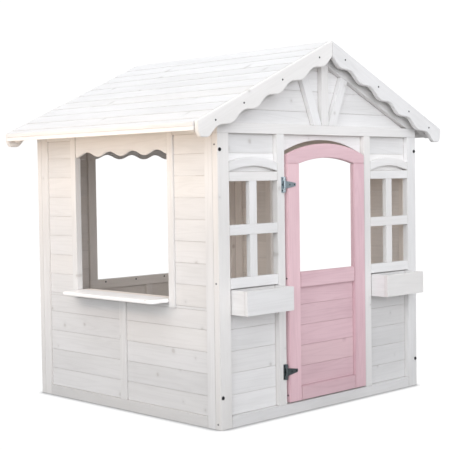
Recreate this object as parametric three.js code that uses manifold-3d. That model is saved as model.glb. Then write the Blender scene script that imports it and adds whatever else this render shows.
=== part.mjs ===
// A timber playhouse kit: four framed and boarded wall panels, a hinged arched door,
// two planters, a serving shelf and a boarded gable roof with scalloped bargeboards.
// Millimetres, +Z up. The front wall, with the door, faces -Y. The origin is the
// bottom centre of the whole house's box.
import * as THREE from "three";
import { mergeVertices } from "three/addons/utils/BufferGeometryUtils.js";
import Module from "manifold-3d";

// Driving dimensions. Half widths are measured from the middle of a wall or of the door.
const houseHalf = 600; // outer faces of the side walls
const houseDepth = 1114; // front face to rear face
const wallThickness = 28;
const wallTop = 1120;
const member = 42; // width of a framing batten
const cornerPost = 58; // width of the front and rear walls' outer posts
const railDepth = 38; // height of top, middle and sill rails
const jambInner = 243.5;
const jambOuter = 284;
const boardThickness = 8;
const boardPitch = 81.2; // cover width of a wall board
const firstSeam = 116.5; // height of the lowest wall seam
const recess = 20; // outer face of the frames to the boards, which are flush inside
const sideRecess = 8; // the same on the side walls
const rearRecess = 10; // the rear wall's boards lie in the middle of its frame
const seamDepth = 1.6; // V groove between two boards
const fit = 0.15; // every solid stops this far inside its nominal faces
const ground = -fit; // cancels the fit, so that the house stands at height zero

const roofPitch = THREE.MathUtils.degToRad(24.4);
const ridgeHeight = 1452;
const roofBoard = 14;
const roofHalf = 740; // ridge to eave, measured level
const roofBoardPitch = 77;
const firstRoofSeam = 84; // from the ridge, along the slope
const roofOverhang = 23; // roof boards beyond each gable wall
const rafterDepth = 30;
const rafterHalf = 711;
const eaveBattenDepth = 14;
const eaveBattenWidth = 28;
const rakeRail = 36; // depth of the sloping rails of a gable frame, square to the slope
const bargeThickness = 18;
const bargeLength = 806; // along its top edge
const bargeDepth = 65; // mean depth of the scalloped edge
const bargeWave = 9;
const wavePitch = 141;
const waveStart = 14; // distance of the first valley from the ridge
const bargeToe = [[719, 1063], [731, 1082]]; // level and plumb cuts at the eaves
const battenLean = THREE.MathUtils.degToRad(22.5);

const paneBottom = 550;
const paneTop = 906;
const middleRail = [708, 746];
const headRail = 34;
const mullionMiddles = { left: -417, right: 411 };
const mullionWidth = 39;
const archBand = 32; // height of the arched strip over a front window
const archEnd = 942; // underside of the strip at its ends
const archRise = 20;

const planterDepth = 82;
const planterSpan = [287, 539];
const planterLevels = [417, 507];
const planterWall = 14;
const planterFloor = 12;

const doorHalf = 235;
const doorFaces = [-8, 13];
const doorBottom = 48;
const doorBottomRail = 55;
const doorOpeningHalf = 166;
const doorRecess = 3.5; // its boards behind the front wall's face
const doorOpeningBottom = 549;
const doorMiddleRail = 60;
const doorJoint = 970; // where the arched rail sits on the stiles
const doorOpeningRise = 23;
const doorShoulder = 1003.5; // height of the arch at the door's edges
const doorRise = 45.5;
const doorFirstSeam = 180;
const doorBoardPitch = 80.4;
const headerShoulder = 1011;
const headerRise = 53;

const hingeLevels = { upper: 889.5, lower: 169.5 };
const hingeAxis = [-251, -7];
const hingeHalf = 30;
const barrelRadius = 4;
const pinRadius = 2;
const pinHole = 2.3;
const strapKnuckle = 14.3; // half length of the strap's middle knuckle
const knuckleGap = 0.4;
const plate = 2;
const leafReach = 12;
const strapShoulder = 19; // where the strap starts to taper, from the pin
const strapReach = 60;
const strapRoot = 12.5; // half height of the strap at its shoulder
const strapTip = 6;

const boltLevels = { top: 1022, bottom: 118 };
const boltInset = 11; // from the side wall's outer face
const boltHead = [7, 4]; // radius and height
const boltRadius = 3;
const boltHole = 3.3;
const boltLength = 44;
const boltHoleDepth = 18; // in the side wall's post

const sideStile = 32; // width of a side window's stiles
const sideWindowHalf = 285;
const leftWindowMiddle = -5; // along the left wall, so a little nearer the rear
const rearWindowHalf = 305;
const rearSill = [427, 468];
const stileLap = 18; // a side window's stiles reach this far below the shelf
const valanceLow = 1011; // lowest points of a valance's wavy edge
const valanceHigh = 1031;
const valanceFaces = [3, 15];
const valanceWave = 144; // pitch of its waves
const valanceShift = 8; // a lowest point's distance from the window's middle
const shelfLevels = [449, 463];
const shelfFaces = [-90, 70];
const shelfCorner = 30;
const studWidth = 38; // the upright strip below a big window
const studThickness = 8;

const whitewash = new THREE.MeshStandardMaterial({ color: 0xe8e6e4, roughness: 0.8 });
const pink = new THREE.MeshStandardMaterial({ color: 0xdcb8c0, roughness: 0.75 });
const zinc = new THREE.MeshStandardMaterial({ color: 0x8e9aa0, roughness: 0.4, metalness: 0.9 });
const steel = new THREE.MeshStandardMaterial({ color: 0x3a3b3d, roughness: 0.5, metalness: 0.6 });

const wasm = await Module();
wasm.setup();

// Solid modelling helpers. A span is a pair [low, high].

function toSolid(geometry) {
  const bare = geometry.clone();
  bare.deleteAttribute("normal");
  bare.deleteAttribute("uv");
  const merged = mergeVertices(bare, 1e-4);
  return new wasm.Manifold(
    new wasm.Mesh({
      numProp: 3,
      vertProperties: new Float32Array(merged.attributes.position.array),
      triVerts: new Uint32Array(merged.index.array),
    }),
  );
}

function toGeometry(solid) {
  const { vertProperties, triVerts } = solid.getMesh();
  const geometry = new THREE.BufferGeometry();
  geometry.setAttribute("position", new THREE.BufferAttribute(vertProperties, 3));
  geometry.setIndex(new THREE.BufferAttribute(triVerts, 1));
  geometry.computeVertexNormals();
  return geometry;
}

function piece(name, shape, material = whitewash) {
  const mesh = new THREE.Mesh(shape.isBufferGeometry ? shape : toGeometry(shape), material);
  mesh.name = name;
  return mesh;
}

function boxGeometry(x, y, z, inset = fit) {
  const size = [x, y, z].map(([low, high]) => high - low - 2 * inset);
  const geometry = new THREE.BoxGeometry(...size);
  return geometry.translate((x[0] + x[1]) / 2, (y[0] + y[1]) / 2, (z[0] + z[1]) / 2);
}

function block(x, y, z, inset = fit) {
  return toSolid(boxGeometry(x, y, z, inset));
}

function joined(solids) {
  return solids.reduce((whole, solid) => whole.add(solid));
}

function polygon(points) {
  return new THREE.Shape(points.map(([a, b]) => new THREE.Vector2(a, b)));
}

// Extrudes an outline drawn in x and z over the depth span y.
function plateGeometry(outline, y) {
  const depth = y[1] - y[0] - 2 * fit;
  const geometry = new THREE.ExtrudeGeometry(outline, { depth, bevelEnabled: false });
  return geometry.rotateX(Math.PI / 2).translate(0, y[1] - fit, 0);
}

function mirrored(points) {
  return points.map(([x, z]) => [-x, z]).reverse();
}

function sided(span, side) {
  return side < 0 ? [-span[1], -span[0]] : span;
}

// Points of a shallow arch about x = middle, from left to right.
function arch(middle, half, end, rise, steps = 20) {
  const radius = (half * half + rise * rise) / (2 * rise);
  const points = [];
  for (let i = 0; i <= steps; i++) {
    const x = -half + (2 * half * i) / steps;
    points.push([middle + x, end + rise - radius + Math.sqrt(radius * radius - x * x)]);
  }
  return points;
}

// A sheet of horizontal boards over the spans x and z, with its grooved face at y = face.
function boardSheet(x, z, face, first = firstSeam, pitch = boardPitch) {
  const outer = face + fit;
  const inner = face + boardThickness - fit;
  const bottom = z[0] + fit;
  const top = z[1] - fit;
  const points = [[outer, bottom]];
  const start = first + pitch * Math.max(0, Math.ceil((bottom + seamDepth - first) / pitch));
  for (let seam = start; seam < top - seamDepth; seam += pitch) {
    points.push([outer, seam - seamDepth]);
    points.push([outer + seamDepth, seam]);
    points.push([outer, seam + seamDepth]);
  }
  points.push([outer, top], [inner, top], [inner, bottom]);
  const depth = x[1] - x[0] - 2 * fit;
  const geometry = new THREE.ExtrudeGeometry(polygon(points), { depth, bevelEnabled: false });
  const turn = new THREE.Matrix4().makeBasis(
    new THREE.Vector3(0, 1, 0),
    new THREE.Vector3(0, 0, 1),
    new THREE.Vector3(1, 0, 0),
  );
  return geometry.applyMatrix4(turn).translate(x[0] + fit, 0, 0);
}

// A round bar along the y axis (or along x), from one end to the other.
function bar(radius, from, to, alongX = false) {
  const geometry = new THREE.CylinderGeometry(radius, radius, to - from, 20);
  geometry.translate(0, (from + to) / 2, 0);
  return alongX ? geometry.rotateZ(-Math.PI / 2) : geometry;
}

// A point on the right-hand roof slope: distance from the ridge, depth below its top face.
function slopePoint(distance, depth) {
  return [
    distance * Math.cos(roofPitch) - depth * Math.sin(roofPitch),
    ridgeHeight - distance * Math.sin(roofPitch) - depth * Math.cos(roofPitch),
  ];
}

// Height of the plane lying the given depth below the roof's top face.
function slopeHeight(x, depth) {
  return ridgeHeight - Math.abs(x) * Math.tan(roofPitch) - depth / Math.cos(roofPitch);
}

// Distance down the slope at which a plane at the given depth passes over x.
function distanceAt(x, depth) {
  return (x + depth * Math.sin(roofPitch)) / Math.cos(roofPitch);
}

const seat = roofBoard + rafterDepth; // depth of the gable frames' top faces
const rakeEdge = seat + rakeRail; // depth of the lower edge of their sloping rails

// The triangle inside a gable frame, stopping the given distance inside it.
function gableOpening(inset) {
  const height = slopeHeight(0, rakeEdge) - inset / Math.cos(roofPitch);
  const half = (height - wallTop - inset) / Math.tan(roofPitch);
  return [[-half, wallTop + inset], [half, wallTop + inset], [0, height]];
}

// The top rail and the two sloping rails of a gable wall, around a triangle of boards.
function gable(group, name, face) {
  const low = wallTop - railDepth + fit;
  const side = houseHalf - fit;
  const shoulder = slopeHeight(side, seat + fit);
  const outline = polygon([
    [-side, low], [side, low], [side, shoulder], [0, slopeHeight(0, seat + fit)], [-side, shoulder],
  ]);
  outline.holes.push(new THREE.Path(polygon(gableOpening(-fit)).getPoints()));
  group.add(piece(name + "_gable_frame", plateGeometry(outline, [0, wallThickness])));

  const span = [-houseHalf, houseHalf];
  const sheet = toSolid(boardSheet(span, [wallTop, ridgeHeight], face));
  const cut = toSolid(plateGeometry(polygon(gableOpening(fit)), [0, wallThickness]));
  group.add(piece(name + "_gable_boards", sheet.intersect(cut)));
}

// A decorative strip on the front gable's boards, rising from the top rail to a sloping rail.
function gableBatten(name, foot, lean) {
  const half = member / Math.cos(lean) / 2 - fit;
  const run = Math.tan(lean);
  const bottom = wallTop + fit;
  const rail = slopeHeight(0, rakeEdge + fit);
  const slope = Math.sign(foot) * Math.tan(roofPitch);
  const top = (x) => {
    const rise = (rail - bottom - slope * x) / (1 + slope * run);
    return [x + run * rise, bottom + rise];
  };
  const outline = [[foot - half, bottom], [foot + half, bottom]];
  const corner = rail - half * Math.tan(roofPitch);
  if (lean === 0) outline.push([half, corner], [0, rail], [-half, corner]);
  else outline.push(top(foot + half), top(foot - half));
  return piece(name, plateGeometry(polygon(outline), [0, recess]));
}

// One window bay of the front wall, between its post and its jamb.
function frontBay(group, hand, side) {
  const x = sided([jambOuter, houseHalf - cornerPost], side);
  const middle = (x[0] + x[1]) / 2;
  const half = (x[1] - x[0]) / 2 - fit;
  const depth = [0, recess];
  const sill = paneBottom - railDepth;
  const head = paneTop + headRail;

  group.add(piece("front_lower_boards_" + hand, boardSheet(x, [member, sill], recess)));
  const mullion = [-mullionWidth / 2, mullionWidth / 2].map((edge) => mullionMiddles[hand] + edge);
  const window = joined([
    block(x, depth, [sill, paneBottom]),
    block(x, depth, middleRail),
    block(x, depth, [paneTop, head]),
    block(mullion, depth, [sill, head]),
  ]);
  group.add(piece("front_window_" + hand, window));
  const boards = boardSheet(x, [head, wallTop - railDepth], recess);
  group.add(piece("front_upper_boards_" + hand, boards));
  const inner = arch(middle, half, archEnd, archRise);
  const outer = arch(middle, half, archEnd + archBand, archRise);
  const strip = polygon([...inner, ...outer.reverse()]);
  group.add(piece("front_arch_trim_" + hand, plateGeometry(strip, [0, recess])));

  const planter = piece("planter_" + hand, planterBox());
  planter.position.x = side * (planterSpan[0] + planterSpan[1]) / 2;
  group.add(planter);
}

// An open-topped box of boards, fixed to the boards below a front window.
function planterBox() {
  const half = (planterSpan[1] - planterSpan[0]) / 2;
  const [bottom, top] = planterLevels;
  const body = block([-half, half], [-planterDepth, recess], planterLevels);
  const hollow = block(
    [planterWall - half, half - planterWall],
    [planterWall - planterDepth, recess - planterWall],
    [bottom + planterFloor, top + 1],
  );
  return body.subtract(hollow);
}

function doorHeader() {
  const half = jambInner - fit;
  const top = wallTop - railDepth - fit;
  const outline = polygon([...arch(0, half, headerShoulder, headerRise), [half, top], [-half, top]]);
  return piece("door_header", plateGeometry(outline, [recess, wallThickness]));
}

function cornerBolt(name, side, level) {
  const [radius, height] = boltHead;
  const head = toSolid(bar(radius, -height, -fit));
  const bolt = piece(name, head.add(toSolid(bar(boltRadius, -1, boltLength))), steel);
  bolt.position.set(side * (houseHalf - boltInset), 0, level);
  return bolt;
}

function frontPost(side) {
  const x = sided([houseHalf - cornerPost, houseHalf], side);
  let post = block(x, [0, wallThickness], [ground, wallTop - railDepth]);
  for (const level of Object.values(boltLevels)) {
    const hole = bar(boltHole, -1, wallThickness + 1);
    post = post.subtract(toSolid(hole.translate(side * (houseHalf - boltInset), 0, level)));
  }
  return post;
}

function frontWall() {
  const group = new THREE.Group();
  const depth = [0, wallThickness];
  const between = [cornerPost - houseHalf, houseHalf - cornerPost];
  group.add(piece("front_bottom_rail", boxGeometry(between, depth, [ground, member])));
  for (const side of [-1, 1]) {
    const hand = side < 0 ? "left" : "right";
    const jamb = boxGeometry(sided([jambInner, jambOuter], side), depth, [member, wallTop - railDepth]);
    group.add(piece("front_post_" + hand, frontPost(side)));
    group.add(piece("front_jamb_" + hand, jamb));
    frontBay(group, hand, side);
    for (const [place, level] of Object.entries(boltLevels)) {
      group.add(cornerBolt("corner_bolt_" + hand + "_" + place, side, level));
    }
    const foot = side * (member / 2 + member / Math.cos(battenLean) / 2);
    group.add(gableBatten("gable_batten_" + hand, foot, side * battenLean));
  }
  group.add(gableBatten("gable_batten_centre", 0, 0));
  group.add(doorHeader());
  gable(group, "front", recess);
  return group;
}

// A boarded wall with one big window. It is built in its own frame: x along the wall as
// seen from outside, y = 0 at the outer face and growing inwards.
function windowWall(name, wall) {
  const group = new THREE.Group();
  const { half, post, face, middle, opening, stile, boardsTop, stileFoot } = wall;
  const back = face + boardThickness;
  const depth = [0, wallThickness];
  const railLow = wallTop - railDepth;
  const top = wall.topRail ? wallTop : railLow;
  const stud = [-studWidth / 2, studWidth / 2];
  const solids = [
    block([-half, half], depth, [ground, member]),
    block(stud, [face - studThickness, face], [ground, boardsTop]),
  ];
  if (wall.sill) {
    solids.push(block(stud, [back, wallThickness], [ground, wall.sill[1]]));
    solids.push(block([middle - opening - stile, middle + opening + stile], depth, wall.sill));
  }
  for (const side of [-1, 1]) {
    solids.push(block(sided([half - post, half], side), depth, [ground, top]));
    const inner = opening + side * middle;
    solids.push(block(sided([inner, inner + stile], side), depth, [stileFoot, top]));
    if (wall.topRail) solids.push(block(sided([inner, half], side), depth, [railLow, top]));
  }
  if (wall.topRail) solids.push(block([-half, half], [valanceFaces[1], wallThickness], [railLow, top]));
  let frame = joined(solids);
  for (const level of wall.boltEnd ? Object.values(boltLevels) : []) {
    const hole = bar(boltHole, half - boltHoleDepth, half + 1, true);
    if (wall.boltEnd < 0) hole.rotateZ(Math.PI);
    frame = frame.subtract(toSolid(hole.translate(0, boltInset, level)));
  }
  group.add(piece(name + "_frame", frame));

  const inside = half - post;
  const sheet = toSolid(boardSheet([-inside, inside], [member, railLow], face));
  const edge = opening + stile;
  const hole = block([middle - edge, middle + edge], depth, [stileFoot, wallTop], -fit);
  const below = block([middle - opening, middle + opening], [-1, wallThickness + 1], [0, boardsTop]);
  const boards = sheet.subtract(hole.subtract(below));
  group.add(piece(name + "_boards", boards));
  const strip = valance(name.replace("_wall", "") + "_valance", opening, top);
  strip.position.x = middle;
  group.add(strip);
  return group;
}

// The strip hanging across the top of a big window, with a wavy lower edge.
function valance(name, opening, top) {
  const half = opening - fit;
  const points = [];
  const steps = 48;
  for (let i = 0; i <= steps; i++) {
    const x = -half + (2 * half * i) / steps;
    const wave = (1 - Math.cos((2 * Math.PI * (x - valanceShift)) / valanceWave)) / 2;
    points.push([x, valanceLow + (valanceHigh - valanceLow) * wave]);
  }
  points.push([half, top - fit], [-half, top - fit]);
  return piece(name, plateGeometry(polygon(points), valanceFaces));
}

// The serving shelf lies on the left wall's boards and stud and reaches outside.
function shelf() {
  const half = sideWindowHalf - 2 * fit;
  const outline = new THREE.Shape();
  outline.moveTo(half, shelfFaces[1]);
  outline.lineTo(-half, shelfFaces[1]);
  outline.lineTo(-half, shelfFaces[0] + shelfCorner);
  outline.absarc(
    shelfCorner - half, shelfFaces[0] + shelfCorner, shelfCorner, Math.PI, 1.5 * Math.PI, false,
  );
  outline.lineTo(half - shelfCorner, shelfFaces[0]);
  outline.absarc(
    half - shelfCorner, shelfFaces[0] + shelfCorner, shelfCorner, 1.5 * Math.PI, 2 * Math.PI, false,
  );
  const depth = shelfLevels[1] - shelfLevels[0] - 2 * fit;
  const geometry = new THREE.ExtrudeGeometry(outline, { depth, bevelEnabled: false, curveSegments: 8 });
  return piece("left_shelf", geometry.translate(leftWindowMiddle, 0, shelfLevels[0] + fit));
}

function sideWall(side) {
  const wall = windowWall(side < 0 ? "left_wall" : "right_wall", {
    half: houseDepth / 2 - wallThickness,
    post: member,
    face: sideRecess,
    middle: side < 0 ? leftWindowMiddle : 0,
    opening: sideWindowHalf,
    stile: sideStile,
    boardsTop: shelfLevels[0],
    stileFoot: shelfLevels[0] - stileLap,
    topRail: true,
    boltEnd: -side,
  });
  wall.rotation.z = (side * Math.PI) / 2;
  wall.position.set(side * houseHalf, houseDepth / 2, 0);
  return wall;
}

function rearWall() {
  const wall = windowWall("rear_wall", {
    half: houseHalf,
    post: cornerPost,
    face: rearRecess,
    middle: 0,
    opening: rearWindowHalf,
    stile: member,
    sill: rearSill,
    boardsTop: rearSill[0],
    stileFoot: rearSill[0],
    topRail: false,
    boltEnd: 0,
  });
  gable(wall, "rear", rearRecess);
  wall.rotation.z = Math.PI;
  wall.position.y = houseDepth;
  return wall;
}

// The door: two stiles, an arched rail, middle and bottom rails, and a boarded lower panel.
function door() {
  const group = new THREE.Group();
  const half = doorHalf - fit;
  const opening = doorOpeningHalf;
  const panel = [doorBottom + doorBottomRail, doorOpeningBottom - doorMiddleRail];
  for (const side of [-1, 1]) {
    const stile = boxGeometry(sided([opening, doorHalf], side), doorFaces, [doorBottom, doorJoint]);
    group.add(piece(side < 0 ? "door_stile_left" : "door_stile_right", stile, pink));
  }
  const joint = doorJoint + fit;
  const outline = [[-half, joint], ...arch(0, opening, joint, doorOpeningRise), [half, joint]];
  outline.push(...arch(0, half, doorShoulder, doorRise, 24).reverse());
  group.add(piece("door_top_rail", plateGeometry(polygon(outline), doorFaces), pink));

  const between = [-opening, opening];
  const middle = boxGeometry(between, doorFaces, [panel[1], doorOpeningBottom]);
  group.add(piece("door_mid_rail", middle, pink));
  const bottom = boxGeometry(between, doorFaces, [doorBottom, panel[0]]);
  group.add(piece("door_bottom_rail", bottom, pink));
  const boards = boardSheet(between, panel, doorRecess, doorFirstSeam, doorBoardPitch);
  group.add(piece("door_boards", boards, pink));
  return group;
}

// A round bar along the z axis.
function rod(radius, z) {
  const geometry = new THREE.CylinderGeometry(radius, radius, z[1] - z[0], 20);
  return toSolid(geometry.rotateX(Math.PI / 2).translate(0, 0, (z[0] + z[1]) / 2));
}

// A T hinge: its leaf, with the pin peened into it, lies on the jamb, and its tapered strap
// lies on the door. Both are drawn about the pin's axis.
function hinge(group, place, level) {
  const jambFace = -hingeAxis[1] - 2 * fit;
  const web = [-barrelRadius, -barrelRadius / 3];
  const gap = strapKnuckle + knuckleGap;
  let leaf = block([-leafReach, web[1]], [jambFace - plate, jambFace], [-hingeHalf, hingeHalf], 0);
  for (const z of [[gap, hingeHalf], [-hingeHalf, -gap]]) {
    leaf = leaf.add(rod(barrelRadius, z));
    leaf = leaf.add(block(web, [0, jambFace], z, 0));
  }
  leaf = leaf.add(rod(pinRadius, [-hingeHalf, hingeHalf]));

  const edge = pinHole + fit;
  const outline = polygon([
    [edge, -strapKnuckle], [strapShoulder, -strapRoot], [strapReach, -strapTip],
    [strapReach, strapTip], [strapShoulder, strapRoot], [edge, strapKnuckle],
  ]);
  const face = doorFaces[0] - hingeAxis[1] - 2 * fit - plate;
  const strap = rod(barrelRadius, [-strapKnuckle, strapKnuckle])
    .add(toSolid(plateGeometry(outline, [face - fit, face + plate + fit])))
    .subtract(rod(pinHole, [-hingeHalf, hingeHalf]));
  for (const [suffix, solid] of [["leaf", leaf], ["strap", strap]]) {
    const mesh = piece("hinge_" + place + "_" + suffix, solid, zinc);
    mesh.position.set(hingeAxis[0], hingeAxis[1], level);
    group.add(mesh);
  }
}

// Roof parts. Outlines are drawn for the right-hand slope and mirrored for the left.

function roofOutline(points, side) {
  return polygon(side < 0 ? mirrored(points) : points);
}

function roofSlope(side) {
  const base = roofBoard - fit;
  const points = [slopePoint(distanceAt(roofHalf, base), base), slopePoint(distanceAt(roofHalf, 0), 0)];
  const eave = distanceAt(roofHalf, 0);
  const seams = [];
  for (let seam = firstRoofSeam; seam < eave - seamDepth; seam += roofBoardPitch) seams.unshift(seam);
  for (const seam of seams) {
    points.push(slopePoint(seam + seamDepth, 0));
    points.push(slopePoint(seam, seamDepth));
    points.push(slopePoint(seam - seamDepth, 0));
  }
  points.push(slopePoint(distanceAt(fit, 0), 0), slopePoint(distanceAt(fit, base), base));
  return roofOutline(points, side);
}

// A batten or rafter under the roof boards, with plumb ends, between two level distances.
function underRoof(side, x, depth) {
  const [top, bottom] = [depth[0] + fit, depth[1] - fit];
  const points = [
    slopePoint(distanceAt(x[0], bottom), bottom), slopePoint(distanceAt(x[1], bottom), bottom),
    slopePoint(distanceAt(x[1], top), top), slopePoint(distanceAt(x[0], top), top),
  ];
  return roofOutline(points, side);
}

function bargeEdge(distance) {
  return bargeDepth - bargeWave * Math.cos((2 * Math.PI * (distance - waveStart)) / wavePitch);
}

function bargeboard(side) {
  const points = [];
  const start = distanceAt(fit, bargeEdge(distanceAt(0, bargeDepth)));
  const steps = 72;
  for (let i = 0; i <= steps; i++) {
    const distance = start + ((bargeLength - start) * i) / steps;
    const [x, z] = slopePoint(distance, bargeEdge(distance));
    points.push([Math.max(x, fit), Math.max(z, bargeToe[0][1])]);
  }
  points.push(...bargeToe, slopePoint(bargeLength, 0), slopePoint(distanceAt(fit, 0), 0));
  return roofOutline(points, side);
}

function roof() {
  const group = new THREE.Group();
  const front = -roofOverhang;
  const rear = houseDepth + roofOverhang;
  for (const side of [-1, 1]) {
    const hand = side < 0 ? "_left" : "_right";
    const add = (name, outline, y) => group.add(piece(name + hand, plateGeometry(outline, y)));
    add("roof_boards", roofSlope(side), [front, rear]);
    const eaveSpan = [roofHalf - eaveBattenWidth, roofHalf];
    const eave = underRoof(side, eaveSpan, [roofBoard, roofBoard + eaveBattenDepth]);
    add("eave_batten", eave, [front, rear]);
    const rafter = underRoof(side, [fit, rafterHalf], [roofBoard, seat]);
    add("roof_rafter_front", rafter, [0, wallThickness]);
    add("roof_rafter_rear", rafter, [houseDepth - wallThickness, houseDepth]);
    add("bargeboard_front", bargeboard(side), [front - bargeThickness, front]);
    add("bargeboard_rear", bargeboard(side), [rear, rear + bargeThickness]);
  }
  return group;
}

// Assembly, with y = 0 at the front wall's outer face.
const house = new THREE.Group();
const left = sideWall(-1);
left.add(shelf());
house.add(frontWall(), left, sideWall(1), rearWall(), door(), roof());
for (const [place, level] of Object.entries(hingeLevels)) hinge(house, place, level);

// The planters reach furthest forward and the rear bargeboards furthest back.
const rearmost = houseDepth + roofOverhang + bargeThickness;
house.position.y = (planterDepth - rearmost) / 2;

const playhouse = new THREE.Group();
playhouse.add(house);
export default playhouse;
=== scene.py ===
"""A whitewashed timber playhouse with a pink door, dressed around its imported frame."""

import math
import random

import bmesh
import bpy
from mathutils import Matrix, Vector


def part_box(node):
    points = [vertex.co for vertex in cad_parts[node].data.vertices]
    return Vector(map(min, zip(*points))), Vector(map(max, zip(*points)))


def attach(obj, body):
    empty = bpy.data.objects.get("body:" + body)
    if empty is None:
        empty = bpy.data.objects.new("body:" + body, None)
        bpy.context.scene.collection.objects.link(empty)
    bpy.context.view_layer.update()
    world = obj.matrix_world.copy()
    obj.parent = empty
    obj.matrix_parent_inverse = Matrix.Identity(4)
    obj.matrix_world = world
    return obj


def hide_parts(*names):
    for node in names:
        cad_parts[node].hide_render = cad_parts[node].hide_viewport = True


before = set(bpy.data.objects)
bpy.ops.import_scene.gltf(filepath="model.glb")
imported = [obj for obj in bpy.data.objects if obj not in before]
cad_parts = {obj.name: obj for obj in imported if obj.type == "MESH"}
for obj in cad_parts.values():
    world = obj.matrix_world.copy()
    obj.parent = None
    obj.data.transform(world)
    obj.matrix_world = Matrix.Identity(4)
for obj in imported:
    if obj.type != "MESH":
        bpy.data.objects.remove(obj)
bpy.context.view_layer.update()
chance = random.Random(7)

# Sizes in metres, as the frame has them.
ROOF_PITCH = math.radians(24.4)
RIDGE = 1.452
ROOF_HALF = 0.740
WALL_TOP = 1.120
WALL = 0.028  # thickness of every wall
MEMBER = 0.042  # width of side posts, bottom rails and rear window stiles
SIDE_STILE = 0.032
CORNER_POST = 0.058
RAIL = 0.038  # height of top rails and of the front windows' sills
STUD = 0.038
STUD_DEPTH = 0.008  # how far a stud stands out from the boards
MULLION = 0.039
MULLION_MIDDLES = {"left": -0.417, "right": 0.411}
FRONT_MIDDLE_RAIL = (0.708, 0.746)
FRONT_HEAD_LOW = 0.906
LEFT_WINDOW_MIDDLE = -0.005
SIDE_WINDOW_HALF = 0.285
REAR_WINDOW_HALF = 0.305
SIDE_BOARDS_TOP = 0.4487
REAR_SILL = (0.427, 0.468)
STILE_LAP = 0.018  # how far the side windows' stiles run down past the boards' top
VALANCE_DEPTH = 0.015  # the side walls' top rails lie this far back, behind the valances
GABLE_SEAT = 0.044  # from the roof's top face down to the gables' sloping rails
RAKE_RAIL = 0.036

# Boards, and how far they lie behind the face of their wall's frame.
BOARD = 0.008
BOARD_PITCH = 0.0812
FIRST_SEAM = 0.1165
DOOR_BOARD_PITCH = 0.0804
DOOR_FIRST_SEAM = 0.180
ROOF_BOARD = 0.014
ROOF_BOARD_PITCH = 0.077
FIRST_ROOF_SEAM = 0.084
RECESS = 0.020
SIDE_RECESS = 0.008
REAR_RECESS = 0.010
NARROWEST = 0.004  # a strip thinner than this is left out of a row of boards
SLIT = 0.00025  # half the gap left between two wall boards
HAIR = 0.0003  # a step that keeps flush faces out of one plane

# Rounding of edges.
EDGE = 0.0010
BOARD_EDGE = 0.0009
GABLE_BOARD_EDGE = 0.0011
ROOF_BOARD_EDGE = 0.0018
VALANCE_EDGE = 0.0022
SANDED_EDGE = 0.0025
SHELF_EDGE = 0.003
STEEL_EDGE = 0.0003

# Tone of the wood: above 0 is paler, below 0 is darker. A range is drawn from for each piece.
PIECE_TONES = (-0.2, 1)
BOARD_TONES = (-1.4, 0.2)
# The roof boards' tones are darker to take back the painted eave light, which reaches them too.
ROOF_TONES = (-2.6, -1.6)
# Painted light and shade: the left bay's boards are paler as painted light, the right bay's darker as painted
# shade.
BAY_LIGHT_AND_SHADE_TONES = {"left": (0.2, 1.8), "right": (-3.0, -1.4)}
UPPER_BOARD_TONES = {"left": (2.3, -1.9), "right": (0.8, -1.9)}
PLANTER_FRONT_TONE = -0.4
WALL_FOOT_TONE = -2.5
NODE_TONES = {
    "front_bottom_rail": -1,
    # Painted light: the header is paler, to lift the shade of its recess.
    "door_header": 2.4,
    # Painted light: the shelf is paler, as its top would be lit from above.
    "left_shelf": 7.5,
    "bargeboard_front_left": 0.5,
    "bargeboard_rear_left": 0.5,
    "bargeboard_front_right": -0.8,
    "bargeboard_rear_right": -0.8,
    "door_stile_left": 3.2,
    "door_stile_right": 0.6,
    "door_top_rail": 0.8,
    "door_mid_rail": 0.3,
    "door_bottom_rail": -1.0,
}

# The inside is thinly stained. This box takes in the inner faces of the front, rear and right walls.
INDOORS = ((-0.5725, 0.586), (-0.5125, 0.5605), (-0.01, 1.090))
BARE = (0.98, 0.92, 0.86, 1)
FAR_WALL = 0.5  # beyond this x is the inside of the right wall, made paler as painted light from the left window
FAR_WALL_PAINTED_LIGHT = (1.17, 1.17, 1.17, 1)

CAMERA_PLACE = (-3.3907, -3.4115, 0.9175)
CAMERA_YAW = math.radians(44.49)
CAMERA_PITCH = math.radians(-2.41)
CAMERA_ROLL = math.radians(-0.83)
CAMERA_LENS = 88.95

HOUSE, DOOR = "house", "door"
WHITE_SLOT, PINK_SLOT = "whitewashed_wood", "pink_wood"


# Materials ---------------------------------------------------------------

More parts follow.
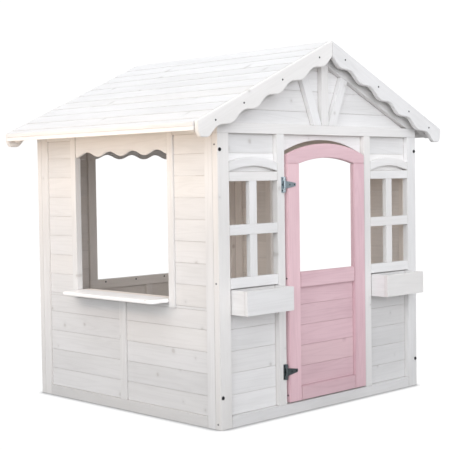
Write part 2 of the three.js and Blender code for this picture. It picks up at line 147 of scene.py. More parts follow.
class Shader:
    """A small helper that adds nodes to one material's tree and links them."""

    def __init__(self, name):
        self.material = bpy.data.materials.new(name)
        self.material.use_nodes = True
        self.tree = self.material.node_tree
        self.surface = self.tree.nodes["Principled BSDF"]

    def node(self, kind, inputs=(), output=0, **settings):
        """Adds a node, sets or links its inputs, and gives back one of its outputs."""
        made = self.tree.nodes.new(kind)
        for key, value in settings.items():
            setattr(made, key, value)
        for socket, value in dict(inputs).items():
            self.put(made, socket, value)
        return made.outputs[output]

    def put(self, node, socket, value):
        if isinstance(value, bpy.types.NodeSocket):
            self.tree.links.new(value, node.inputs[socket])
        else:
            node.inputs[socket].default_value = value

    def math(self, operation, a, b=0.0, c=0.0, clamp=False):
        return self.node("ShaderNodeMath", {0: a, 1: b, 2: c}, operation=operation, use_clamp=clamp)

    def stretch(self, vector, scale):
        return self.node("ShaderNodeMapping", {"Vector": vector, "Scale": scale})

    def noise(self, vector, detail=2.0, roughness=0.5, distortion=0.0):
        inputs = {"Vector": vector, "Scale": 1.0, "Detail": detail,
                  "Roughness": roughness, "Distortion": distortion}
        return self.node("ShaderNodeTexNoise", inputs)

    def between(self, value, low, high):
        inputs = {"Value": value, "From Min": low, "From Max": high}
        return self.node("ShaderNodeMapRange", inputs, interpolation_type="SMOOTHSTEP")

    def mix(self, share, a, b, blend="MIX"):
        made = self.tree.nodes.new("ShaderNodeMix")
        made.data_type = "RGBA"
        made.blend_type = blend
        for socket, value in ((0, share), (6, a), (7, b)):
            self.put(made, socket, value)
        return made.outputs[2]

    def bump(self, height, strength, distance):
        inputs = {"Height": height, "Strength": strength, "Distance": distance}
        self.put(self.surface, "Normal", self.node("ShaderNodeBump", inputs))


def wood(name, pale, streak, warm, knot, ring_share=0.20, knotless=0.80):
    """Stained softwood. The 'grain' attribute runs along x in metres; 'tone' differs by piece."""
    s = Shader(name)
    grain = s.node("ShaderNodeAttribute", output=1, attribute_name="grain")
    tone = s.node("ShaderNodeAttribute", output=2, attribute_name="tone")

    fibre = s.noise(s.stretch(grain, (7, 330, 330)), detail=3, roughness=0.6)
    figure = s.noise(s.stretch(grain, (1.1, 16, 16)), detail=2, distortion=0.25)
    rings = s.math("SINE", s.math("MULTIPLY", figure, 62.0))
    rings = s.between(rings, 0.0, 1.0)
    blotch = s.noise(s.stretch(grain, (2.4, 11, 11)), detail=3, roughness=0.55)

    # Knots: a few cells of a pattern stretched along the board hold a dark heart and a halo.
    knots = s.tree.nodes.new("ShaderNodeTexVoronoi")
    knots.voronoi_dimensions = "2D"
    turned = {"Vector": grain, "Scale": (8, 1, 8), "Rotation": (math.pi / 2, 0, 0)}
    s.put(knots, "Vector", s.node("ShaderNodeMapping", turned))
    s.put(knots, "Scale", 1.0)
    pick = s.node("ShaderNodeSeparateColor", {0: knots.outputs["Color"]}).node.outputs
    chosen = s.math("GREATER_THAN", pick[0], knotless)
    wobble = s.math("MULTIPLY", s.noise(s.stretch(grain, (45, 45, 45))), 0.09)
    girth = s.math("MULTIPLY", pick[1], 0.06)
    away = s.math("SUBTRACT", s.math("ADD", knots.outputs["Distance"], wobble), girth)
    heart = s.math("MULTIPLY", chosen, s.between(away, 0.085, 0.03))
    halo = s.math("MULTIPLY", chosen, s.between(away, 0.17, 0.06))

    # The stain's own colour, streaked by rings, clouds and fibres, and yellower in places.
    lines = s.math("MULTIPLY", rings, ring_share)
    cloudy = s.math("MULTIPLY", s.between(blotch, 0.35, 0.75), 0.50)
    hairs = s.math("MULTIPLY", s.between(fibre, 0.45, 0.75), 0.22)
    share = s.math("ADD", s.math("ADD", lines, cloudy), hairs, clamp=True)
    colour = s.mix(share, pale, streak)
    yellowing = s.between(s.noise(s.stretch(grain, (0.35, 0.35, 0.35))), 0.48, 0.68)
    colour = s.mix(s.math("MULTIPLY", yellowing, 0.4), colour, warm)
    colour = s.mix(s.math("MULTIPLY", halo, 0.45), colour, streak)
    colour = s.mix(s.math("MULTIPLY", heart, 0.28), colour, knot)

    # Painted shade darkens the wood towards the ground, painted light brightens it under the eaves, and each
    # piece is in its own tone.
    place = s.node("ShaderNodeSeparateXYZ", {0: s.node("ShaderNodeNewGeometry")}).node.outputs
    height = place[2]
    ground_shade = s.math("MULTIPLY", s.between(height, -0.05, 0.50), 0.13)
    eave_light = s.math("MULTIPLY", s.between(height, 0.70, 1.10), 0.10)
    shade = s.math("ADD", s.math("ADD", ground_shade, eave_light), 0.855)
    dim = s.math("MULTIPLY_ADD", tone, 0.035, shade)
    level = s.node("ShaderNodeCombineColor", {0: dim, 1: dim, 2: dim})
    colour = s.mix(1.0, colour, level, "MULTIPLY")

    # The thinly stained inside, and painted light on the inside of the right wall.
    indoors = 1.0
    for side, (low, high) in zip(place, INDOORS):
        indoors = s.math("MULTIPLY", s.math("GREATER_THAN", side, low), indoors)
        indoors = s.math("MULTIPLY", s.math("LESS_THAN", side, high), indoors)
    colour = s.mix(indoors, colour, s.mix(1.0, colour, BARE, "MULTIPLY"))
    # Painted light: the inside of the right wall is paler, as if lit through the left window.
    far = s.math("MULTIPLY", indoors, s.math("GREATER_THAN", place[0], FAR_WALL))
    colour = s.mix(far, colour, s.mix(1.0, colour, FAR_WALL_PAINTED_LIGHT, "MULTIPLY"))

    # Painted shade: seams and inner corners are darkened towards the knot colour, where little light reaches.
    open_share = s.node("ShaderNodeAmbientOcclusion", {"Distance": 0.006}, output=1, samples=8)
    crevice_shade = s.math("MULTIPLY", s.between(open_share, 0.70, 0.25), 0.55)
    colour = s.mix(crevice_shade, colour, knot)
    s.put(s.surface, "Base Color", colour)

    s.put(s.surface, "Roughness", s.math("MULTIPLY_ADD", fibre, 0.22, 0.56))
    s.put(s.surface, "Specular IOR Level", 0.32)
    relief = s.math("ADD", s.math("MULTIPLY", rings, 0.5), fibre)
    s.bump(relief, 0.35, 0.0006)
    return s.material


def metal(name, colour, dull, roughness, scale):
    """Sheet metal with a fine spangle in its colour and its gloss."""
    s = Shader(name)
    place = s.node("ShaderNodeTexCoord", output=3)
    spangle = s.noise(s.stretch(place, (scale, scale, scale)), detail=4, roughness=0.6)
    s.put(s.surface, "Base Color", s.mix(s.between(spangle, 0.35, 0.7), colour, dull))
    s.put(s.surface, "Metallic", 0.9)
    s.put(s.surface, "Roughness", s.math("MULTIPLY_ADD", spangle, 0.2, roughness - 0.1))
    s.bump(spangle, 0.15, 0.0002)
    return s.material


def paper(name, bounce, reach):
    """The studio floor: white but for a contact shadow, and a dim grey to all but the camera."""
    s = Shader(name)
    s.put(s.surface, "Base Color", bounce)
    s.put(s.surface, "Roughness", 1.0)
    s.put(s.surface, "Specular IOR Level", 0.0)
    clear = s.node("ShaderNodeAmbientOcclusion", {"Distance": reach}, output=1, samples=12)
    white = s.mix(s.between(clear, 0.45, 0.95), (0.30, 0.30, 0.31, 1), (1, 1, 1, 1))
    glow = s.node("ShaderNodeEmission", {"Color": white, "Strength": 1.05})
    seen = s.node("ShaderNodeLightPath", output=0)
    both = s.node("ShaderNodeMixShader", {0: seen, 1: s.surface.outputs[0], 2: glow})
    s.put(s.tree.nodes["Material Output"], "Surface", both)
    return s.material


WHITE = wood("whitewash", (0.80, 0.79, 0.785, 1), (0.69, 0.68, 0.67, 1),
             (0.80, 0.765, 0.725, 1), (0.36, 0.31, 0.27, 1))
PINK = wood("pink_stain", (0.74, 0.52, 0.56, 1), (0.60, 0.39, 0.435, 1),
            (0.74, 0.55, 0.555, 1), (0.42, 0.26, 0.26, 1), knotless=0.94)
ZINC = metal("zinc", (0.46, 0.54, 0.58, 1), (0.28, 0.34, 0.37, 1), 0.40, 420)
DARK_ZINC = metal("weathered_zinc", (0.15, 0.18, 0.19, 1), (0.07, 0.085, 0.09, 1), 0.36, 420)
BLACK = metal("black_steel", (0.06, 0.06, 0.065, 1), (0.015, 0.015, 0.018, 1), 0.5, 500)


# Mesh helpers ------------------------------------------------------------

def rounded(shape, edge, sharper_than=0.45):
    """Rounds the edges of a bmesh whose faces meet at more than the given angle."""
    edges = [e for e in shape.edges if len(e.link_faces) == 2 and e.calc_face_angle() > sharper_than]
    bmesh.ops.bevel(shape, geom=edges, offset=edge, segments=2, affect="EDGES", clamp_overlap=True)
    return shape


def box_shape(low, high, edge=EDGE):
    shape = bmesh.new()
    size = Vector(high) - Vector(low)
    middle = (Vector(high) + Vector(low)) / 2
    bmesh.ops.create_cube(shape, size=1, matrix=Matrix.Translation(middle) @ Matrix.Diagonal((*size, 1)))
    return rounded(shape, edge)


def prism_shape(outline, depth, edge=EDGE):
    """A plate with an outline in x and z, and its two faces at the depths in y."""
    shape = bmesh.new()
    near = [shape.verts.new((x, depth[0], z)) for x, z in outline]
    far = [shape.verts.new((x, depth[1], z)) for x, z in outline]
    shape.faces.new(near)
    shape.faces.new(far[::-1])
    for i in range(len(near)):
        j = (i + 1) % len(near)
        shape.faces.new((near[i], far[i], far[j], near[j]))
    bmesh.ops.recalc_face_normals(shape, faces=shape.faces)
    return rounded(shape, edge)


def node_shape(node, edge=EDGE):
    """A CAD node's own shape, its flat faces merged and its edges rounded."""
    shape = bmesh.new()
    shape.from_mesh(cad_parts[node].data)
    bmesh.ops.remove_doubles(shape, verts=shape.verts, dist=1e-6)
    bmesh.ops.dissolve_limit(shape, angle_limit=math.radians(1), verts=shape.verts, edges=shape.edges)
    bmesh.ops.recalc_face_normals(shape, faces=shape.faces)
    return rounded(shape, edge)


AXES = {"x": Vector((1, 0, 0)), "y": Vector((0, 1, 0)), "z": Vector((0, 0, 1))}


class Timber:
    """Gathers pieces of wood into one mesh, each with its own direction of grain and its own tone."""

    def __init__(self, place=None):
        self.place = place or Matrix.Identity(4)
        self.points, self.faces, self.grain, self.tones = [], [], [], []

    def add(self, shape, along, tone=None):
        axis = AXES[along] if isinstance(along, str) else Vector(along).normalized()
        side = Vector((0, 1, 0)) if abs(axis.y) < 0.9 else Vector((1, 0, 0))
        third = axis.cross(side)
        shift = Vector([chance.uniform(0, 40) for _ in range(3)])
        tone = chance.uniform(*PIECE_TONES) if tone is None else tone
        first = len(self.points)
        shape.verts.ensure_lookup_table()
        shape.verts.index_update()
        for vert in shape.verts:
            self.points.append(self.place @ vert.co)
            self.grain.append(Vector((vert.co.dot(axis), vert.co.dot(side), vert.co.dot(third))) + shift)
            self.tones.append(tone)
        self.faces += [[first + v.index for v in face.verts] for face in shape.faces]
        shape.free()
        return self

    def finish(self, node, body, material, slot):
        """Makes the pieces one mesh that stands in for a CAD node."""
        name = node + "_timber"
        mesh = bpy.data.meshes.new(name)
        mesh.from_pydata(self.points, [], self.faces)
        grain = mesh.attributes.new("grain", "FLOAT_VECTOR", "POINT")
        grain.data.foreach_set("vector", [c for g in self.grain for c in g])
        tone = mesh.attributes.new("tone", "FLOAT", "POINT")
        tone.data.foreach_set("value", self.tones)
        settle(name, mesh, body, material, node)


def settle(name, mesh, body, material, node=None):
    """Makes an object of a mesh, hangs it on its body and lets it stand in for its CAD node."""
    mesh.validate()
    mesh.shade_smooth()
    mesh.set_sharp_from_angle(angle=math.radians(32))
    mesh.materials.append(material)
    piece = bpy.data.objects.new(name, mesh)
    bpy.context.scene.collection.objects.link(piece)
    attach(piece, body)
    if node:
        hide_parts(node)


def white(timber, node):
    timber.finish(node, HOUSE, WHITE, WHITE_SLOT)


def pink(timber, node):
    timber.finish(node, DOOR, PINK, PINK_SLOT)


def stick(node, along, edge=EDGE):
    """A single piece of wood with the CAD node's shape."""
    return Timber().add(node_shape(node, edge), along, NODE_TONES.get(node))


def board_rows(low, high, first=FIRST_SEAM, pitch=BOARD_PITCH):
    """The heights between which the boards of a sheet lie, from low to high."""
    seams = [low]
    seam = first
    while seam < high - NARROWEST:
        if seam > low + NARROWEST:
            seams.append(seam)
        seam += pitch
    seams.append(high)
    return list(zip(seams, seams[1:]))


def lay_boards(timber, x, z, y, tones=(), spread=BOARD_TONES, first=FIRST_SEAM, pitch=BOARD_PITCH):
    """Horizontal boards that fill the spans x and z, between the depths y.

    The lowest boards take the given tones, and the others draw theirs from the spread.
    """
    for i, (low, high) in enumerate(board_rows(*z, first, pitch)):
        start = Vector((x[0], y[0] + chance.uniform(0, HAIR), low + SLIT))
        end = Vector((x[1], y[1], high - SLIT))
        tone = tones[i] if i < len(tones) else chance.uniform(*spread)
        timber.add(box_shape(start, end, BOARD_EDGE), "x", tone)
    return timber


# Walls ---------------------------------------------------------------------

def slope_height(x, depth):
    """Height of the plane lying the given depth below the roof's top face."""
    return RIDGE - abs(x) * math.tan(ROOF_PITCH) - depth / math.cos(ROOF_PITCH)


def mirror(points):
    return [(-x, z) for x, z in points][::-1]


def gable_frame(place, node):
    low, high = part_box(node)
    half, depth = high.x, (0, high.y - low.y)
    rail = WALL_TOP - RAIL
    frame_wood = Timber(place)
    frame_wood.add(box_shape((-half, depth[0], rail), (half, depth[1], WALL_TOP)), "x")
    inner = GABLE_SEAT + RAKE_RAIL
    foot = (slope_height(0, inner) - WALL_TOP) / math.tan(ROOF_PITCH)
    rake = [(0.0002, slope_height(0, inner)), (foot, WALL_TOP + HAIR), (half, WALL_TOP + HAIR),
            (half, slope_height(half, GABLE_SEAT)), (0.0002, slope_height(0, GABLE_SEAT))]
    for side in (1, -1):
        outline = rake if side > 0 else mirror(rake)
        along = (math.cos(ROOF_PITCH), 0, -side * math.sin(ROOF_PITCH))
        frame_wood.add(prism_shape(outline, depth), along)
    white(frame_wood, node)


def gable_boards(place, node, recess):
    low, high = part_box(node)
    slope = math.tan(ROOF_PITCH)
    boards = Timber(place)
    for bottom, top in board_rows(low.z, high.z):
        wide = (high.z - bottom - SLIT) / slope
        narrow = (high.z - top + SLIT) / slope
        outline = [(-wide, bottom + SLIT), (wide, bottom + SLIT)]
        outline += [(narrow, top - SLIT), (-narrow, top - SLIT)]
        if narrow < 0.006:
            outline[2:] = [(0, high.z)]
        shape = prism_shape(outline, (recess, recess + BOARD), GABLE_BOARD_EDGE)
        boards.add(shape, "x", chance.uniform(*BOARD_TONES))
    white(boards, node)


def front_bay(place, hand):
    low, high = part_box("front_window_" + hand)
    x = (low.x, high.x)
    middle = MULLION_MIDDLES[hand]
    depth = (0, high.y - low.y)
    rail_low, rail_high = FRONT_MIDDLE_RAIL
    sill_top = low.z + RAIL
    window = Timber(place)
    for z in ((low.z, sill_top), FRONT_MIDDLE_RAIL, (FRONT_HEAD_LOW, high.z)):
        window.add(box_shape((x[0], depth[0], z[0]), (x[1], depth[1], z[1])), "x")
    for z in ((sill_top, rail_low), (rail_high, FRONT_HEAD_LOW)):
        upright = (middle - MULLION / 2, HAIR, z[0]), (middle + MULLION / 2, depth[1], z[1])
        window.add(box_shape(*upright), "z")
    white(window, "front_window_" + hand)

    y = (RECESS, WALL)
    for part, tones in (("lower", ()), ("upper", UPPER_BOARD_TONES[hand])):
        node = f"front_{part}_boards_{hand}"
        low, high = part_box(node)
        white(lay_boards(Timber(place), x, (low.z, high.z), y, tones, BAY_LIGHT_AND_SHADE_TONES[hand]), node)
    white(stick("front_arch_trim_" + hand, "x"), "front_arch_trim_" + hand)
    planter("planter_" + hand)


def planter(node):
    """Front, back, two ends and a floor, nailed into a box."""
    low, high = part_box(node)
    wall, floor = 0.014, 0.012
    tray = Timber()
    tray.add(box_shape(low, (high.x, low.y + wall, high.z)), "x", PLANTER_FRONT_TONE)
    tray.add(box_shape((low.x, high.y - wall, low.z), high), "x")
    for x in ((low.x, low.x + wall), (high.x - wall, high.x)):
        tray.add(box_shape((x[0], low.y + wall, low.z), (x[1], high.y - wall, high.z)), "y")
    inside = Vector((wall, wall, 0))
    bottom = Vector((high.x, high.y, low.z + floor)) - inside
    tray.add(box_shape(low + inside, bottom), "x")
    white(tray, node)


def window_wall(place, name, half, post, recess, middle, opening, stile, boards_top, sill=None):
    """A boarded wall with one big window, in a frame of posts, rails, stiles and a stud."""
    frame_node, board_node = name + "_frame", name + "_boards"
    rail_low = WALL_TOP - RAIL
    top = rail_low if sill else WALL_TOP
    back = recess + BOARD
    inside = half - post
    stud = (-STUD / 2, STUD / 2)
    stile_foot = boards_top if sill else boards_top - STILE_LAP
    full = (0.00015, WALL)
    proud = (0.0005, WALL - HAIR)
    wood_frame = Timber(place)

    def member(x, y, z, along, tone=None):
        wood_frame.add(box_shape((x[0], y[0], z[0]), (x[1], y[1], z[1])), along, tone)

    member((-inside, inside), full, (0, MEMBER), "x", WALL_FOOT_TONE)
    member(stud, (recess - STUD_DEPTH, recess), (MEMBER, boards_top), "z")
    if sill:
        member((-opening - stile, opening + stile), full, sill, "x")
        member(stud, (back, proud[1]), (MEMBER, sill[0]), "z")
    else:
        member((-inside, inside), (VALANCE_DEPTH, WALL), (rail_low, top), "x")
    for side in (-1, 1):
        def sided(a, b):
            return (a, b) if side > 0 else (-b, -a)
        inner = opening + side * middle
        member(sided(inside, half), full, (0, top), "z")
        member(sided(inner, inner + stile), proud, (sill[1] if sill else stile_foot, top), "z")
        if not sill:
            member(sided(inner + stile, inside), (full[0], VALANCE_DEPTH), (rail_low, top), "x")
    white(wood_frame, frame_node)

    boards = Timber(place)
    y = (recess, back)
    for side in (-1, 1):
        inner = opening + side * middle
        edge = inner + stile
        below = (0.0001, inside) if side > 0 else (-inside, -0.0001)
        beside = (edge, inside) if side > 0 else (-inside, -edge)
        under = (0.0001, inner) if side > 0 else (-inner, -0.0001)
        lay_boards(boards, below, (MEMBER, stile_foot), y)
        if boards_top > stile_foot:
            lay_boards(boards, under, (stile_foot, boards_top), y)
        lay_boards(boards, beside, (stile_foot, rail_low), y)
    white(boards, board_node)
    valance_node = name.replace("_wall", "_valance")
    along = "x" if sill else "y"
    white(stick(valance_node, along, VALANCE_EDGE), valance_node)


def front_wall():
    place = Matrix.Translation((0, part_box("front_gable_frame")[0].y, 0))
    gable_frame(place, "front_gable_frame")
    gable_boards(place, "front_gable_boards", RECESS)
    white(stick("front_bottom_rail", "x"), "front_bottom_rail")
    for hand in ("left", "right"):
        for part in ("front_post_", "front_jamb_"):
            low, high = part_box(part + hand)
            white(Timber().add(box_shape(low, high), "z"), part + hand)
        front_bay(place, hand)
        lean = math.radians(22.5) * (1 if hand == "right" else -1)
        batten = "gable_batten_" + hand
        white(stick(batten, (math.sin(lean), 0, math.cos(lean))), batten)
    white(stick("gable_batten_centre", "z"), "gable_batten_centre")
    white(stick("door_header", "x"), "door_header")


def side_walls():
    for name, side in (("left_wall", -1), ("right_wall", 1)):
        low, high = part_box(name + "_frame")
        middle = (low.y + high.y) / 2
        face = low.x if side < 0 else high.x
        place = Matrix.Translation((face, middle, 0)) @ Matrix.Rotation(side * math.pi / 2, 4, "Z")
        window = (LEFT_WINDOW_MIDDLE if side < 0 else 0, SIDE_WINDOW_HALF, SIDE_STILE)
        half = (high.y - low.y) / 2
        window_wall(place, name, half, MEMBER, SIDE_RECESS, *window, SIDE_BOARDS_TOP)
    white(stick("left_shelf", "y", SHELF_EDGE), "left_shelf")


def rear_wall():
    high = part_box("rear_wall_frame")[1]
    place = Matrix.Translation((0, high.y, 0)) @ Matrix.Rotation(math.pi, 4, "Z")
    window = (0, REAR_WINDOW_HALF, MEMBER)
    window_wall(place, "rear_wall", high.x, CORNER_POST, REAR_RECESS, *window, REAR_SILL[0], REAR_SILL)
    gable_frame(place, "rear_gable_frame")
    gable_boards(place, "rear_gable_boards", REAR_RECESS)


# Door ----------------------------------------------------------------------

def door():
    for node in ("door_stile_left", "door_stile_right", "door_mid_rail", "door_bottom_rail", "door_top_rail"):
        along = "z" if "stile" in node else "x"
        pink(stick(node, along, SANDED_EDGE), node)
    low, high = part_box("door_boards")
    boards = Timber()
    lay_boards(boards, (low.x, high.x), (low.z, high.z), (low.y, high.y),
               first=DOOR_FIRST_SEAM, pitch=DOOR_BOARD_PITCH)
    pink(boards, "door_boards")


# Roof ----------------------------------------------------------------------

def slope_point(distance, depth):
    """The point a distance down the right slope from the ridge, and a depth below its top face."""
    x = distance * math.cos(ROOF_PITCH) - depth * math.sin(ROOF_PITCH)
    z = RIDGE - distance * math.sin(ROOF_PITCH) - depth * math.cos(ROOF_PITCH)
    return x, z


def distance_at(x, depth):
    """How far down the slope that depth has the given x."""
    return (x + depth * math.sin(ROOF_PITCH)) / math.cos(ROOF_PITCH)


def roof_boards(hand):
    """Boards running from gable to gable, one above another down the slope."""
    node = "roof_boards_" + hand
    low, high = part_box(node)
    eave = distance_at(ROOF_HALF, 0)
    seams = [0.0]
    seam = FIRST_ROOF_SEAM
    while seam < eave - 0.002:
        seams.append(seam)
        seam += ROOF_BOARD_PITCH
    seams.append(eave)
    boards = Timber()
    for top, bottom in zip(seams, seams[1:]):
        gap = chance.uniform(0.0008, 0.0016)
        outer, inner = chance.uniform(0, 0.0004), ROOF_BOARD
        upper = (distance_at(0.0002, outer), distance_at(0.0002, inner)) if top == 0 else (top + gap,) * 2
        lower = (eave, distance_at(ROOF_HALF, inner)) if bottom == eave else (bottom - gap,) * 2
        outline = [slope_point(upper[0], outer), slope_point(lower[0], outer),
                   slope_point(lower[1], inner), slope_point(upper[1], inner)]
        if hand == "left":
            outline = mirror(outline)
        shape = prism_shape(outline, (low.y, high.y), ROOF_BOARD_EDGE)
        boards.add(shape, "y", chance.uniform(*ROOF_TONES))
    white(boards, node)


def roof():
    for hand, side in (("left", -1), ("right", 1)):
        roof_boards(hand)
        down = (math.cos(ROOF_PITCH), 0, -side * math.sin(ROOF_PITCH))
        white(stick("eave_batten_" + hand, "y"), "eave_batten_" + hand)
        for end in ("front", "rear"):
            rafter, barge = f"roof_rafter_{end}_{hand}", f"bargeboard_{end}_{hand}"
            white(stick(rafter, down), rafter)
            white(stick(barge, down, SANDED_EDGE), barge)


# Ironwork --------------------------------------------------------------------

def lathe(profile, steps=20):
    """A round head about z from (radius, height) pairs that start and end on the axis."""
    shape = bmesh.new()
    start = shape.verts.new((0, 0, profile[0][1]))
    end = shape.verts.new((0, 0, profile[-1][1]))
    rings = []
    for radius, height in profile[1:-1]:
        turn = [2 * math.pi * i / steps for i in range(steps)]
        rings.append([shape.verts.new((radius * math.cos(a), radius * math.sin(a), height)) for a in turn])
    for i in range(steps):
        j = (i + 1) % steps
        shape.faces.new((start, rings[0][j], rings[0][i]))
        shape.faces.new((end, rings[-1][i], rings[-1][j]))
        for near, far in zip(rings, rings[1:]):
            shape.faces.new((near[i], near[j], far[j], far[i]))
    bmesh.ops.recalc_face_normals(shape, faces=shape.faces)
    return shape


def screw_shape(radius):
    """A pan head with a cross recess, seated a little into the wood."""
    height = radius * 0.45
    slot = radius * 0.34
    profile = [(0, -0.0015), (radius * 0.8, -0.0015), (radius, 0.0), (radius * 0.93, height * 0.6),
               (radius * 0.62, height), (slot, height), (slot * 0.6, height * 0.35), (0, height * 0.3)]
    return lathe(profile)


def heads(name, body, spots, radius):
    """Dark screw heads at (point, outward direction) pairs, as one piece."""
    points, faces = [], []
    for point, outward in spots:
        shape = screw_shape(radius)
        turn = Vector(outward).to_track_quat("Z", "Y").to_matrix().to_4x4()
        place = Matrix.Translation(point) @ turn
        first = len(points)
        shape.verts.index_update()
        points += [place @ v.co for v in shape.verts]
        faces += [[first + v.index for v in face.verts] for face in shape.faces]
        shape.free()
    mesh = bpy.data.meshes.new(name)
    mesh.from_pydata(points, [], faces)
    settle(name, mesh, body, BLACK)


def steel(node, shape, body, material, place=None):
    """A steel piece of the given shape, in place of its CAD node."""
    mesh = bpy.data.meshes.new(node + "_steel")
    shape.to_mesh(mesh)
    shape.free()
    mesh.transform(place or Matrix.Identity(4))
    settle(node + "_steel", mesh, body, material, node)


def hinges():
    for place, material in (("upper", ZINC), ("lower", DARK_ZINC)):
        leaf, strap = f"hinge_{place}_leaf", f"hinge_{place}_strap"
        steel(leaf, node_shape(leaf, STEEL_EDGE), HOUSE, material)
        steel(strap, node_shape(strap, STEEL_EDGE), DOOR, material)
        low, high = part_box(strap)
        level = (low.z + high.z) / 2
        strap_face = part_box("door_stile_left")[0].y - 0.0022
        tips = [((low.x + reach, strap_face, level), (0, -1, 0)) for reach in (0.030, 0.056)]
        heads(f"hinge_{place}_strap_screws", DOOR, tips, 0.0030)
        low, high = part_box(leaf)
        leaf_face = high.y - 0.002
        holes = [((low.x + 0.0042, leaf_face, level + rise), (0, -1, 0)) for rise in (-0.0225, 0, 0.0225)]
        heads(f"hinge_{place}_leaf_screws", HOUSE, holes, 0.0028)


def bolts():
    """Domed heads with a socket, on the corner posts."""
    tall = 0.004
    for hand in ("left", "right"):
        for place in ("top", "bottom"):
            node = f"corner_bolt_{hand}_{place}"
            low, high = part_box(node)
            radius = (high.x - low.x) / 2
            profile = [(0, 0), (0.003, 0), (0.003, -0.0005), (radius, -0.0005), (radius, 0.0012)]
            profile += [(radius * 0.8, tall * 0.85), (0.0035, tall)]
            profile += [(0.003, tall - 0.0022), (0, tall - 0.0022)]
            middle = ((low.x + high.x) / 2, low.y + tall, (low.z + high.z) / 2)
            upright = Matrix.Translation(middle) @ Matrix.Rotation(math.pi / 2, 4, "X")
            steel(node, lathe(profile, 24), HOUSE, BLACK, upright)


def screws():
    """The wood screws that show on the bargeboards, the corners, the rear sill and the door's edge."""
    front_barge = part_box("bargeboard_front_left")[0].y
    rear_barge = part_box("bargeboard_rear_left")[1].y
    spots = []
    for distance in (0.101, 0.335, 0.564, 0.723):
        x, z = slope_point(distance, 0.032)
        for side in (-1, 1):
            spots.append(((side * x, front_barge, z), (0, -1, 0)))
            spots.append(((side * x, rear_barge, z), (0, 1, 0)))
    heads("bargeboard_screws", HOUSE, spots, 0.0036)

    low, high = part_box("front_post_left")
    edge_x, edge_y = low.x, (low.y + high.y) / 2 + 0.002
    heights = (0.020, 0.535, 1.040)
    corners = [((side * -edge_x, edge_y, z), (side, 0, 0)) for side in (-1, 1) for z in heights]
    heads("post_edge_screws", HOUSE, corners, 0.0032)

    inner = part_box("rear_wall_frame")[0].y
    sill = [((x, inner, 0.457), (0, -1, 0)) for x in (-0.261, -0.083, 0.091, 0.265)]
    heads("rear_sill_screws", HOUSE, sill, 0.0040)

    low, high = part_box("door_stile_left")
    edges = [((low.x, (low.y + high.y) / 2, z), (-1, 0, 0)) for z in (0.075, 0.528)]
    heads("door_edge_screws", DOOR, edges, 0.0034)


# Studio --------------------------------------------------------------------

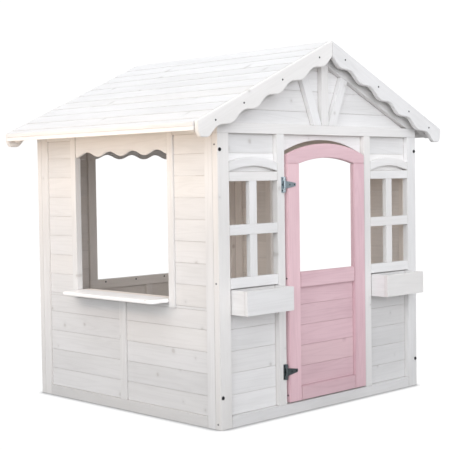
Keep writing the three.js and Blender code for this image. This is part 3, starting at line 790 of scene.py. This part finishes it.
def studio():
    """A white room: the sky lights the house dimly but looks white to the camera."""
    world = bpy.data.worlds.new("studio")
    bpy.context.scene.world = world
    world.use_nodes = True
    tree = world.node_tree
    sky = tree.nodes["Background"]
    sky.inputs["Color"].default_value = (0.93, 0.96, 1.0, 1)
    sky.inputs["Strength"].default_value = 0.56
    seen = tree.nodes.new("ShaderNodeBackground")
    seen.inputs["Strength"].default_value = 1.05
    seen.inputs["Color"].default_value = (1, 1, 1, 1)
    path = tree.nodes.new("ShaderNodeLightPath")
    blend = tree.nodes.new("ShaderNodeMixShader")
    tree.links.new(path.outputs["Is Camera Ray"], blend.inputs[0])
    tree.links.new(sky.outputs[0], blend.inputs[1])
    tree.links.new(seen.outputs[0], blend.inputs[2])
    tree.links.new(blend.outputs[0], tree.nodes["World Output"].inputs["Surface"])

    sun("overhead", (0.55, 0.25, -1), 1.6, 80, (0.97, 0.985, 1))
    sun("from_left", (1, 0.55, -0.10), 1.38, 50, (0.94, 0.97, 1))
    sun("from_front", (0.1, 1, -0.12), 1.38, 60, (0.955, 0.96, 1))
    softbox("warm_panel", (-1.6, 0.1, 1.0), (1, 0, 0.3), (1.7, 0.3), 3.6, (1, 0.64, 0.40))
    softbox("eave_panel", (-1.0, 0, 0.93), (1, 0, 0.45), (1.2, 0.15), 0.65, (1, 0.82, 0.54))

    size = 30
    floor = bpy.data.meshes.new("floor")
    corners = [(-size, -size, 0), (size, -size, 0), (size, size, 0), (-size, size, 0)]
    floor.from_pydata(corners, [], [(0, 1, 2, 3)])
    floor.materials.append(paper("floor_paper", (0.36, 0.35, 0.34, 1), 0.05))
    ground = bpy.data.objects.new("floor", floor)
    bpy.context.scene.collection.objects.link(ground)
    bpy.context.scene.view_settings.view_transform = "Standard"


def sun(name, direction, strength, spread, colour):
    light = bpy.data.lights.new(name, "SUN")
    light.energy = strength
    light.angle = math.radians(spread)
    light.color = colour
    lamp = bpy.data.objects.new(name, light)
    lamp.rotation_euler = Vector(direction).to_track_quat("-Z", "Y").to_euler()
    bpy.context.scene.collection.objects.link(lamp)


def softbox(name, place, direction, size, power, colour):
    """A glowing rectangle that the camera doesn't see."""
    light = bpy.data.lights.new(name, "AREA")
    light.shape = "RECTANGLE"
    light.size, light.size_y = size
    light.energy = power
    light.color = colour
    lamp = bpy.data.objects.new(name, light)
    lamp.location = place
    lamp.rotation_euler = Vector(direction).to_track_quat("-Z", "Y").to_euler()
    lamp.visible_camera = False
    bpy.context.scene.collection.objects.link(lamp)


def camera():
    """The view from the front left corner. The yaw is from the rear towards the right."""
    sine, cosine, flat = math.sin(CAMERA_YAW), math.cos(CAMERA_YAW), math.cos(CAMERA_PITCH)
    ahead = Vector((sine * flat, cosine * flat, math.sin(CAMERA_PITCH)))
    level = Vector((cosine, -sine, 0))
    upright = level.cross(ahead)
    across = math.cos(CAMERA_ROLL) * level + math.sin(CAMERA_ROLL) * upright
    up = -math.sin(CAMERA_ROLL) * level + math.cos(CAMERA_ROLL) * upright
    lens = bpy.data.cameras.new("camera")
    lens.lens = CAMERA_LENS
    lens.sensor_width = 36
    eye = bpy.data.objects.new("camera", lens)
    turn = Matrix((across, up, -ahead)).transposed().to_4x4()
    eye.matrix_world = Matrix.Translation(CAMERA_PLACE) @ turn
    bpy.context.scene.collection.objects.link(eye)
    bpy.context.scene.camera = eye


front_wall()
side_walls()
rear_wall()
door()
roof()
hinges()
bolts()
screws()
studio()
camera()
